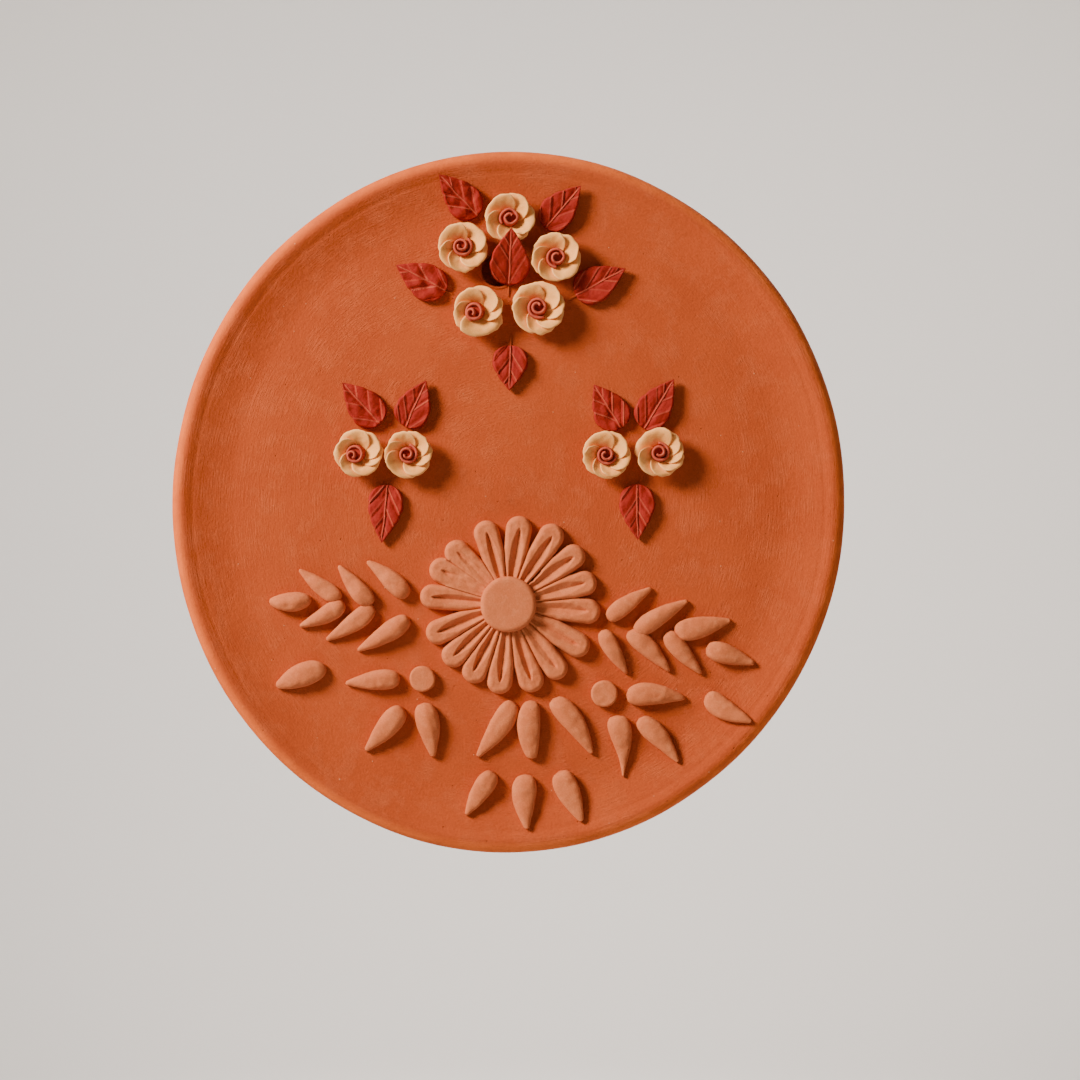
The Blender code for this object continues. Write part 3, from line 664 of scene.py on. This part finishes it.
def addDaisyPetal(bm, petal, gapBefore, gapAfter, draw):
    bearing, reach, depth, width, smear = petal
    shift = drawShift(draw)
    roundEnd = daisy["petalWidth"] / 2 * draw.uniform(0.95, 1.03)
    turnPoint = reach - roundEnd
    lift = draw.uniform(-0.25, 0.3)
    bend = draw.uniform(-0.5, 0.5)
    ridgeShare = daisy["ridgeShare"]

    def shape(along, across):
        x = daisy["innerRadius"] + (reach - daisy["innerRadius"]) * (1 - (1 - along) ** 1.7)
        gap = math.radians(gapBefore if across < 0 else gapAfter)
        wedge = x * math.tan(gap / 2)
        full = roundEnd - daisy["taper"] * max(turnPoint - x, 0.0)
        if x > turnPoint:
            full = math.sqrt(max(roundEnd ** 2 - (x - turnPoint) ** 2, 0.0))
        touching = ease(full - wedge, -0.3, 0.5)
        half = min(full, wedge)
        if bearing == daisy["crackBearing"] and across > 0:
            crack = 0.5 + 1.1 * abs(swell(Vector((x, 0.0, 0.0)) + shift, 2.0))
            half -= crack * bell(x - daisy["crackPlace"], daisy["crackLength"])
        y = across * half
        fromEdge = abs(across)
        if x > turnPoint:
            fromEdge = min(math.hypot(x - turnPoint, y) / roundEnd, 1.0)
        flattened = smear * ease(daisy["smearReach"] - x, 0.0, 6.0)
        filled = daisy["creaseHeight"] - daisy["edgeHeight"]
        low = daisy["edgeHeight"] + filled * touching + daisy["smearFill"] * flattened
        low += daisy["rootRise"] * ease(daisy["rootReach"] - x, 0.0, 7.0) * touching
        top = daisy["thickness"] + lift - daisy["smearSink"] * flattened
        outside = max(fromEdge - ridgeShare, 0.0) / (1 - ridgeShare)
        dome = low + (top - low) * math.sqrt(max(1 - outside ** 2, 0.0))
        fromEnd = turnPoint + 0.7 - x
        open = min(max(fromEnd / daisy["troughOpening"], 0.0), 1.0) ** 0.6
        trough = max(1.15 * width * open * min(half / 4.0, 1.0), 0.05)
        line = abs(y - bend * math.sin(math.pi * along)) / trough
        cut = depth * max(1 - line, 0.0) * ease(fromEnd, -0.3, 2.4) * (1 - 0.85 * flattened)
        cut *= 0.7 + 0.3 * ease(x, 13.0, 20.0)
        height = dome - cut + daisy["uneven"] * swell(Vector((x, y, 0.0)) + shift, daisy["unevenLump"])
        height += daisy["skin"] * swell(Vector((x, y, 5.0)) + shift, daisy["skinLump"])
        smeared = swell(Vector((x * 0.4, y * 1.6, 9.0)) + shift, 1.6)
        height += daisy["smearRipple"] * flattened * smeared
        return Vector((x, y, height)), 0.0

    points = slab(bm, daisy["rows"], daisy["columns"], shape)
    bmesh.ops.rotate(bm, verts=points, cent=(0, 0, 0), matrix=Matrix.Rotation(math.radians(bearing), 3, "Z"))


def addDisc(bm, diameter, thickness, rounding, draw):
    radius = diameter / 2
    shift = drawShift(draw)
    profile = [((radius - rounding * 0.5) * k / 6, 0.0) for k in range(7)]
    profile += [(radius - rounding * 0.15, rounding * 0.2), (radius, rounding * 0.7)]
    for k in range(9):
        angle = math.pi / 2 * k / 8
        profile.append((radius - rounding + rounding * math.cos(angle),
                        thickness - rounding + rounding * math.sin(angle)))
    profile += [((radius - rounding) * (1 - k / 8), thickness) for k in range(1, 9)]
    points = turned(bm, profile, 72)
    for point in points:
        away = Vector((point.co.x, point.co.y, 0.0))
        spread = 1 + 0.035 * swell(away + shift, radius * 0.9)
        point.co.x *= spread
        point.co.y *= spread
        if point.co.z > rounding:
            point.co.z += 0.16 * swell(away + shift, radius * 0.5)
    return points


def makeDaisy(buff):
    draw = random.Random("daisy")
    bm = bmesh.new()
    petals = daisy["petals"]
    for k, petal in enumerate(petals):
        gapBefore = (petal[0] - petals[(k + 1) % len(petals)][0]) % 360
        gapAfter = (petals[k - 1][0] - petal[0]) % 360
        addDaisyPetal(bm, petal, gapBefore, gapAfter, draw)
    hub = daisy["hubRadius"]
    turned(bm, [(0.0, 0.0), (hub, 0.0), (hub, daisy["hubHeight"]), (0.0, daisy["hubHeight"])], 48)
    layOnFace(bm.verts, daisy["centre"], 0.0)
    finishPiece("daisy_petals_clay", bm, buff, ["daisy_petals"])
    bm = bmesh.new()
    points = addDisc(bm, daisy["discDiameter"], daisy["discThickness"], daisy["discRound"], draw)
    bmesh.ops.translate(bm, vec=(0, 0, daisy["thickness"] - daisy["discSink"]), verts=points)
    layOnFace(bm.verts, daisy["centre"], 0.0)
    finishPiece("daisy_centre_clay", bm, buff, ["daisy_centre"])
    print("daisy laid")


# Petal drops: each group starts where a bearing from the daisy's centre meets its edge.
# Each drop: its middle from there and its length and width as shares of one drop's length,
# and the way its tip points in degrees. Two drops in one inner pair are pressed together.
drops = {
    "length": 19.0,
    "thickness": 5.0,
    "edge": 1.3,  # thickness where a drop has no width left
    "waist": 0.38,  # its widest line is at this share of its height
    "daisyRadius": 41.0,
    "foldWidth": 1.3,
    "uneven": 0.42,
    "unevenLump": 5.5,
    "skin": 0.18,
    "skinLump": 2.0,
    "around": 32,
    "along": 36,
    "groups": {
        "left_spray": (180, (
            ((-2.96, 0.08, -177, 1.01, 0.45),),
            ((-2.27, 0.46, 144, 1.22, 0.42), (-2.22, -0.24, -153, 1.2, 0.43)),
            ((-1.44, 0.45, 130, 1.22, 0.45), (-1.56, -0.45, -145, 1.38, 0.45)),
            ((-0.68, 0.6, 139, 1.28, 0.46),), ((-0.78, -0.71, -148, 1.45, 0.47),))),
        "left_side": (225, (
            ((-3.34, -0.17, -159, 1.27, 0.56),), ((-1.66, -0.27, -175, 1.3, 0.48),),
            ((-1.39, -1.41, -131, 1.36, 0.53),), ((-0.36, -1.42, -80, 1.3, 0.56),))),
        "foot_fan": (270, (
            ((-0.3, -0.78, -124, 1.57, 0.53),), ((0.54, -0.78, -89, 1.39, 0.54),),
            ((1.51, -0.7, -55, 1.6, 0.54),), ((-0.67, -2.28, -123, 1.21, 0.48),),
            ((0.41, -2.47, -88, 1.29, 0.58),), ((1.46, -2.34, -65, 1.29, 0.57),))),
        "right_spray": (0, (
            ((0.68, 0.02, 35, 1.28, 0.42),),
            ((1.43, -0.29, 31, 1.47, 0.46), (1.14, -1.11, -44, 1.36, 0.46)),
            ((2.4, -0.52, 13, 1.37, 0.53), (1.96, -1.15, -49, 1.28, 0.44)),
            ((0.33, -1.12, -60, 1.19, 0.41),), ((3.05, -1.21, -18, 1.2, 0.49),))),
        "right_side": (315, (
            ((1.93, -0.64, -3, 1.39, 0.54),), ((3.63, -0.92, -29, 1.23, 0.52),),
            ((1.09, -1.8, -84, 1.46, 0.55),), ((2.0, -1.66, -48, 1.38, 0.49),))),
    },
    # powers of the outline towards the tip and the round end, and the tip's blunt width as a share
    "outline": (1.0, 0.42, 0.16),
    "oddOutlines": {"left_spray_petal_1": (0.72, 0.52, 0.16), "left_side_petal_1": (0.85, 0.55, 0.14),
                    "foot_fan_petal_2": (0.75, 0.42, 0.3), "right_side_petal_3": (1.55, 0.42, 0.1)},
    "dots": (("left_dot", 225, -0.49, -0.22, 0.61), ("right_dot", 315, 0.72, -0.57, 0.63)),
    "dotThickness": 3.6,
    "dotRound": 1.1,
}


def daisyEdge(bearing):
    angle = math.radians(bearing)
    return daisy["centre"] + Vector((math.cos(angle), math.sin(angle))) * drops["daisyRadius"]


# half width of a drop as a share of its widest half, from tip to round end
def dropOutline(share, outline):
    tipPower, endPower, blunt = outline
    widest = tipPower / (tipPower + endPower)
    peak = widest ** tipPower * (1 - widest) ** endPower
    nearTip = min(share / 0.035, 1.0)
    cap = blunt * math.sqrt(nearTip * (2 - nearTip)) * (1 - share) ** 3
    return share ** tipPower * (1 - share) ** endPower / peak + cap


def addDrop(bm, length, width, outline, draw):
    shift = Vector((draw.uniform(0, 90), draw.uniform(0, 90), draw.uniform(0, 90)))
    thickness = drops["thickness"] * draw.uniform(0.86, 1.08)
    skew = draw.uniform(-0.05, 0.05) * length
    flat = draw.uniform(0.6, 0.9)
    fold = draw.uniform(-0.25, 0.5)
    foldPlace = draw.uniform(-0.25, 0.25) * width

    def shape(share, angle):
        share = min(max(share, 0.0), 1.0)
        fullness = dropOutline(share, outline) if 0.0005 < share < 0.9995 else 0.0
        depth = drops["edge"] + (thickness - drops["edge"]) * fullness ** 0.9
        side = math.cos(angle)
        rise = math.sin(angle)
        y = keepSign(side, 0.9) * fullness * width / 2
        if rise >= 0:
            height = depth * (drops["waist"] + (1 - drops["waist"]) * rise ** flat)
        else:
            height = depth * drops["waist"] * max(1 + 1.5 * rise, 0.0)
            y *= 1 - 0.2 * rise * rise
        if fullness == 0.0:
            height = depth * drops["waist"]
        x = (0.5 - share) * length
        y += skew * math.sin(math.pi * share)
        place = Vector((x, y, height))
        lump = drops["uneven"] * swell(place + shift, drops["unevenLump"])
        lump += drops["skin"] * swell(place + shift, drops["skinLump"])
        lump += fold * bell(y - foldPlace * (1 - share), drops["foldWidth"]) * fullness * max(rise, 0.0)
        if height > 0.4:
            place.z += lump * min(height / 2, 1.0)
            place.y += 0.5 * lump
        return place, 0.0

    return ball(bm, drops["around"], drops["along"], shape)


def makeDrops(buff):
    unit = drops["length"]
    for group, (bearing, pieces) in drops["groups"].items():
        start = daisyEdge(bearing)
        for number, piece in enumerate(pieces, 1):
            name = f"{group}_petal_{number}"
            draw = random.Random(name)
            outline = drops["oddOutlines"].get(name, drops["outline"])
            bm = bmesh.new()
            for x, z, way, length, width in piece:
                points = addDrop(bm, length * unit, width * unit, outline, draw)
                layOnFace(points, start + Vector((x, z)) * unit, math.radians(way))
            finishPiece(name + "_clay", bm, buff, [name])
    for name, bearing, x, z, diameter in drops["dots"]:
        bm = bmesh.new()
        points = addDisc(bm, diameter * unit, drops["dotThickness"], drops["dotRound"],
                         random.Random(name))
        layOnFace(points, daisyEdge(bearing) + Vector((x, z)) * unit, 0.0)
        finishPiece(name + "_clay", bm, buff, [name])
    print("drops and dots laid")


# an sRGB hex colour as the linear colour that a shader takes
def fromHex(code):
    values = [int(code[k:k + 2], 16) / 255 for k in (1, 3, 5)]
    linear = [value / 12.92 if value <= 0.04045 else ((value + 0.055) / 1.055) ** 2.4 for value in values]
    return (*linear, 1.0)


# adds a node with its settings; each input is a value, a hex colour or another node's output
def addNode(tree, kind, inputs, **settings):
    item = tree.nodes.new("ShaderNode" + kind)
    for name, value in settings.items():
        setattr(item, name, value)
    for socket, value in inputs.items():
        if isinstance(value, bpy.types.NodeSocket):
            tree.links.new(value, item.inputs[socket])
        else:
            item.inputs[socket].default_value = fromHex(value) if isinstance(value, str) else value
    return item


# Finishes: every clay here is unglazed and fired, matte, with mottling, grain, pits and specks.
# Sizes are in millimetres, and bump heights too.
terracotta = {
    "name": "terracotta_turned",  # orange-brown earthenware, with turning marks that catch the light
    "base": "#ba5023", "mottle": "#b24a1f", "pale": "#c65d33", "speck": "#f0b084", "pit": "#5f2410",
    "mottleSize": 34.0, "grainSize": 1.0, "grainHeight": 0.11, "pitSpacing": 5.0, "pitShare": 0.24,
    "pitHeight": 0.3, "speckShare": 0.16, "rough": 0.78, "marks": 0.2,
    "worn": "#f07430",  # the lip: a painted highlight, paler in worn-looking patches
}
creamClay = {
    "name": "cream_clay",  # pale slip-coloured clay, smooth from the fingers
    "base": "#ffb464", "mottle": "#f8aa5c", "pale": "#ffc078", "speck": "#b4713f", "pit": "#a3602f",
    "mottleSize": 7.0, "grainSize": 0.45, "grainHeight": 0.02, "pitSpacing": 4.0, "pitShare": 0.1,
    # crest: the colour of the painted highlight along the petals' rims
    "pitHeight": 0.08, "speckShare": 0.05, "rough": 0.7, "crest": "#ffc480",
}
budClay = {
    "name": "red_brown_clay",  # red-brown clay, with a painted highlight along the top of the rolled edge
    "base": "#af3527", "mottle": "#a22d20", "pale": "#b84132", "speck": "#d98a68", "pit": "#5a150d",
    "mottleSize": 3.0, "grainSize": 0.4, "grainHeight": 0.02, "pitSpacing": 4.0, "pitShare": 0.1,
    "pitHeight": 0.06, "speckShare": 0.06, "rough": 0.68, "crest": "#c9664f",
}
brickClay = {
    "name": "brick_red_clay",  # deep red clay, with a painted highlight along the burrs that the veining tool left
    "base": "#9a2017", "mottle": "#8f1b12", "pale": "#a42a1e", "speck": "#cf7658", "pit": "#4a0f08",
    "mottleSize": 9.0, "grainSize": 0.45, "grainHeight": 0.03, "pitSpacing": 4.0, "pitShare": 0.12,
    "pitHeight": 0.1, "speckShare": 0.06, "rough": 0.72, "crest": "#c75e44",
    "stalk": "#b85426",  # the stalks are thin rolls of the plate's own clay
}
buffClay = {
    "name": "buff_clay",  # pinkish buff clay, dusty, with small pits
    "base": "#d07448", "mottle": "#ca6d42", "pale": "#d77f54", "speck": "#eab98e", "pit": "#7c3d1d",
    "mottleSize": 9.0, "grainSize": 0.7, "grainHeight": 0.07, "pitSpacing": 4.4, "pitShare": 0.35,
    "pitHeight": 0.16, "speckShare": 0.07, "rough": 0.8,
}


def makeClay(look):
    finish = bpy.data.materials.new(look["name"])
    finish.use_nodes = True
    tree = finish.node_tree
    shader = tree.nodes["Principled BSDF"]
    coords = addNode(tree, "TexCoord", {}).outputs["Object"]
    inMm = addNode(tree, "VectorMath", {0: coords, 3: 1 / mm}, operation="SCALE").outputs[0]

    # noise for the broad mottling, for the cloudier mottling on it and for the grain
    noises = []
    for scale, detail, rough in ((1 / look["mottleSize"], 4.0, 0.6), (2.7 / look["mottleSize"], 5.0, 0.65),
                                 (1 / look["grainSize"], 3.0, 0.6)):
        noises.append(addNode(tree, "TexNoise", {"Vector": inMm, "Scale": scale, "Detail": detail,
                                                 "Roughness": rough}).outputs["Fac"])
    broad, cloudy, grain = noises
    darker = addNode(tree, "MapRange", {0: broad, 1: 0.35, 2: 0.62}).outputs[0]
    colour = addNode(tree, "Mix", {0: darker, 6: look["base"], 7: look["mottle"]},
                     data_type="RGBA").outputs[2]
    paler = addNode(tree, "MapRange", {0: cloudy, 1: 0.48, 2: 0.75}).outputs[0]
    colour = addNode(tree, "Mix", {0: paler, 6: colour, 7: look["pale"]}, data_type="RGBA").outputs[2]

    # the grain is seen as a slight change of tone and of height
    tone = addNode(tree, "MapRange", {0: grain, 1: 0.3, 2: 0.7, 3: 0.9, 4: 1.08}).outputs[0]
    colour = addNode(tree, "VectorMath", {0: colour, 3: tone}, operation="SCALE").outputs[0]
    height = addNode(tree, "Math", {0: grain, 1: look["grainHeight"] * 2}, operation="MULTIPLY").outputs[0]

    # painted highlight: a paler colour where the crest attribute marks ridges, rims and top edges
    if "crest" in look:
        crest = addNode(tree, "Attribute", {}, attribute_name="crest").outputs["Fac"]
        paintedHighlight = addNode(tree, "Math", {0: crest, 1: grain}, operation="MULTIPLY").outputs[0]
        paintedHighlight = addNode(tree, "Math", {0: paintedHighlight, 1: 1.3}, operation="MULTIPLY", use_clamp=True).outputs[0]
        colour = addNode(tree, "Mix", {0: paintedHighlight, 6: colour, 7: look["crest"]}, data_type="RGBA").outputs[2]
    if "stalk" in look:
        onStalk = addNode(tree, "Math", {0: crest, 1: -0.5}, operation="LESS_THAN").outputs[0]
        colour = addNode(tree, "Mix", {0: onStalk, 6: colour, 7: look["stalk"]}, data_type="RGBA").outputs[2]

    # turning marks: streaks that run round the plate, much longer than they are wide
    if "marks" in look:
        upright = addNode(tree, "VectorRotate", {"Vector": inMm, "Angle": -plate["lean"]},
                          rotation_type="Y_AXIS").outputs[0]
        flat = addNode(tree, "VectorMath", {0: upright, 1: (1.0, 0.0, 1 / stretch)},
                       operation="MULTIPLY").outputs[0]
        radius = addNode(tree, "VectorMath", {0: flat}, operation="LENGTH").outputs[1]
        way = addNode(tree, "VectorMath", {0: flat}, operation="NORMALIZE").outputs[0]
        spunWay = addNode(tree, "VectorMath", {0: way, 3: 11.0}, operation="SCALE").outputs[0]
        across = addNode(tree, "CombineXYZ", {1: radius}).outputs[0]
        polar = addNode(tree, "VectorMath", {0: spunWay, 1: across}, operation="ADD").outputs[0]
        streak = addNode(tree, "TexNoise", {"Vector": polar, "Scale": 1.4, "Detail": 4.0,
                                            "Roughness": 0.75}).outputs["Fac"]
        patch = addNode(tree, "MapRange", {0: cloudy, 1: 0.35, 2: 0.65}).outputs[0]
        streak = addNode(tree, "MapRange", {0: streak, 1: 0.4, 2: 0.72}).outputs[0]
        worn = addNode(tree, "Math", {0: streak, 1: patch}, operation="MULTIPLY").outputs[0]
        faint = addNode(tree, "Math", {0: worn, 1: 0.35}, operation="MULTIPLY").outputs[0]
        colour = addNode(tree, "Mix", {0: faint, 6: colour, 7: look["pale"]}, data_type="RGBA").outputs[2]
        height = addNode(tree, "Math", {0: worn, 1: look["marks"], 2: height},
                         operation="MULTIPLY_ADD").outputs[0]
        # painted highlight on the lip, in worn-looking patches all round
        onLip = addNode(tree, "MapRange", {0: radius, 1: rimCentre.x - 0.5, 2: rimCentre.x + 2.5}).outputs[0]
        paintedHighlight = addNode(tree, "MapRange", {0: cloudy, 1: 0.3, 2: 0.6, 3: 0.35, 4: 0.85}).outputs[0]
        paintedHighlight = addNode(tree, "Math", {0: onLip, 1: paintedHighlight}, operation="MULTIPLY").outputs[0]
        colour = addNode(tree, "Mix", {0: paintedHighlight, 6: colour, 7: look["worn"]}, data_type="RGBA").outputs[2]

    # pits and specks: round dots in a few of the cells of a scattered pattern
    cells = addNode(tree, "TexVoronoi", {"Vector": inMm, "Scale": 1 / look["pitSpacing"]})
    chosen = addNode(tree, "SeparateColor", {0: cells.outputs["Color"]})
    size = addNode(tree, "MapRange", {0: chosen.outputs[1], 3: 0.04, 4: 0.12}).outputs[0]
    inDot = addNode(tree, "MapRange", {0: cells.outputs["Distance"], 1: 0.01, 2: size, 3: 1.0,
                                       4: 0.0}, interpolation_type="SMOOTHSTEP").outputs[0]
    for share, test, tone, rise in (
            (look["pitShare"], "LESS_THAN", look["pit"], -look["pitHeight"]),
            (1 - look["speckShare"], "GREATER_THAN", look["speck"], look["pitHeight"] * 0.5)):
        isDot = addNode(tree, "Math", {0: chosen.outputs[0], 1: share}, operation=test).outputs[0]
        dot = addNode(tree, "Math", {0: inDot, 1: isDot}, operation="MULTIPLY").outputs[0]
        shade = addNode(tree, "Math", {0: dot, 1: 0.6}, operation="MULTIPLY").outputs[0]
        colour = addNode(tree, "Mix", {0: shade, 6: colour, 7: tone}, data_type="RGBA").outputs[2]
        height = addNode(tree, "Math", {0: dot, 1: rise, 2: height}, operation="MULTIPLY_ADD").outputs[0]
    bump = addNode(tree, "Bump", {"Height": height, "Strength": 1.0, "Distance": mm}).outputs[0]
    roughness = addNode(tree, "MapRange", {0: cloudy, 1: 0.3, 2: 0.7, 3: look["rough"] - 0.06,
                                           4: look["rough"] + 0.1}).outputs[0]
    tree.links.new(colour, shader.inputs["Base Color"])
    tree.links.new(roughness, shader.inputs["Roughness"])
    tree.links.new(bump, shader.inputs["Normal"])
    shader.inputs["Specular IOR Level"].default_value = 0.2  # dry clay hardly shines
    return finish


# Studio: a pale floor that sweeps up into a round backdrop, a warm key light from the upper
# left that grazes the face, and a soft fill
studio = {
    "floorHeight": -0.55,
    "floorRadius": 1.7,
    "sweep": 1.1,
    "wallTop": 3.2,
    "steps": 96,
    "colour": "#dedad5",
    "keyWay": Vector((-0.74, -0.46, 0.49)),
    "keyDistance": 1.7,
    "keySize": 0.62,
    "keyPower": 17.0,
    "keyColour": (1.0, 0.88, 0.74),
    "fillPlace": Vector((0.9, -1.7, 0.3)),
    "fillSize": 1.6,
    "fillPower": 0.4,
    "backPlace": Vector((0.8, 1.5, 1.2)),
    "backPower": 7.0,
    "wallPlace": Vector((0.0, 0.7, 0.45)),  # lights only the backdrop, away from the plate
    "wallAim": Vector((0.0, 3.0, 0.0)),
    "wallSize": 0.9,
    "wallPower": 34.0,
    "spread": math.radians(90),
    "wallSpread": math.radians(130),
    "worldColour": (1.0, 0.95, 0.92),
    "worldStrength": 0.06,
}


def addLight(name, place, size, power, colour, spread, aim=(0.0, 0.0, 0.0)):
    data = bpy.data.lights.new(name, "AREA")
    data.shape = "DISK"
    data.size = size
    data.energy = power
    data.color = colour
    data.spread = spread
    light = newObject(name, data)
    light.location = place
    light.rotation_euler = (Vector(aim) - place).to_track_quat("-Z", "Y").to_euler()
    light.visible_camera = False


def makeStudio():
    bm = bmesh.new()
    floor = studio["floorHeight"]
    profile = [(0.0, floor), (studio["floorRadius"], floor)]
    for k in range(1, 17):
        angle = math.pi / 2 * k / 16
        profile.append((studio["floorRadius"] + studio["sweep"] * math.sin(angle),
                        floor + studio["sweep"] * (1 - math.cos(angle))))
    profile.append((studio["floorRadius"] + studio["sweep"], studio["wallTop"]))
    turned(bm, profile, studio["steps"])
    mesh = bpy.data.meshes.new("studio_floor")
    bm.to_mesh(mesh)
    bm.free()
    mesh.shade_smooth()
    paper = bpy.data.materials.new("backdrop_paper")
    paper.use_nodes = True
    shader = paper.node_tree.nodes["Principled BSDF"]
    shader.inputs["Base Color"].default_value = fromHex(studio["colour"])
    shader.inputs["Roughness"].default_value = 0.9
    mesh.materials.append(paper)
    backdrop = newObject("studio_floor", mesh)
    spread = studio["spread"]
    soft = studio["fillSize"]
    addLight("key", studio["keyWay"].normalized() * studio["keyDistance"], studio["keySize"],
             studio["keyPower"], studio["keyColour"], spread)
    addLight("fill", studio["fillPlace"], soft, studio["fillPower"], studio["worldColour"], spread)
    addLight("back", studio["backPlace"], soft, studio["backPower"], studio["worldColour"], spread)
    addLight("wall", studio["wallPlace"], studio["wallSize"], studio["wallPower"], studio["worldColour"],
             studio["wallSpread"], studio["wallAim"])
    world = bpy.data.worlds.new("soft_room")
    world.use_nodes = True
    glow = world.node_tree.nodes["Background"]
    glow.inputs["Color"].default_value = (*studio["worldColour"], 1.0)
    glow.inputs["Strength"].default_value = studio["worldStrength"]
    bpy.context.scene.world = world
    print("studio lit")


# Camera: straight at the face, with the plate placed in the frame as in the photograph
camera = {
    "lens": 100.0,
    "frameWidth": 482.1,  # mm that the frame spans on the face
    "middle": Vector((14.06, -16.83)),  # mm, the place on the face at the frame's middle
    "faceDistance": 12.0,
    "sensor": 36.0,
}


def makeCamera():
    data = bpy.data.cameras.new("camera")
    data.lens = camera["lens"]
    data.sensor_width = camera["sensor"]
    distance = camera["frameWidth"] / camera["sensor"] * camera["lens"] + camera["faceDistance"]
    item = newObject("camera", data)
    item.location = Vector((camera["middle"].x, -distance, camera["middle"].y)) * mm
    item.rotation_euler = (math.radians(90), 0.0, 0.0)
    bpy.context.scene.camera = item


makeCamera()
makeStudio()
buff = makeClay(buffClay)
makePlate(makeClay(terracotta))
makeBouquets(makeClay(creamClay), makeClay(budClay), makeClay(brickClay))
makeDaisy(buff)
makeDrops(buff)
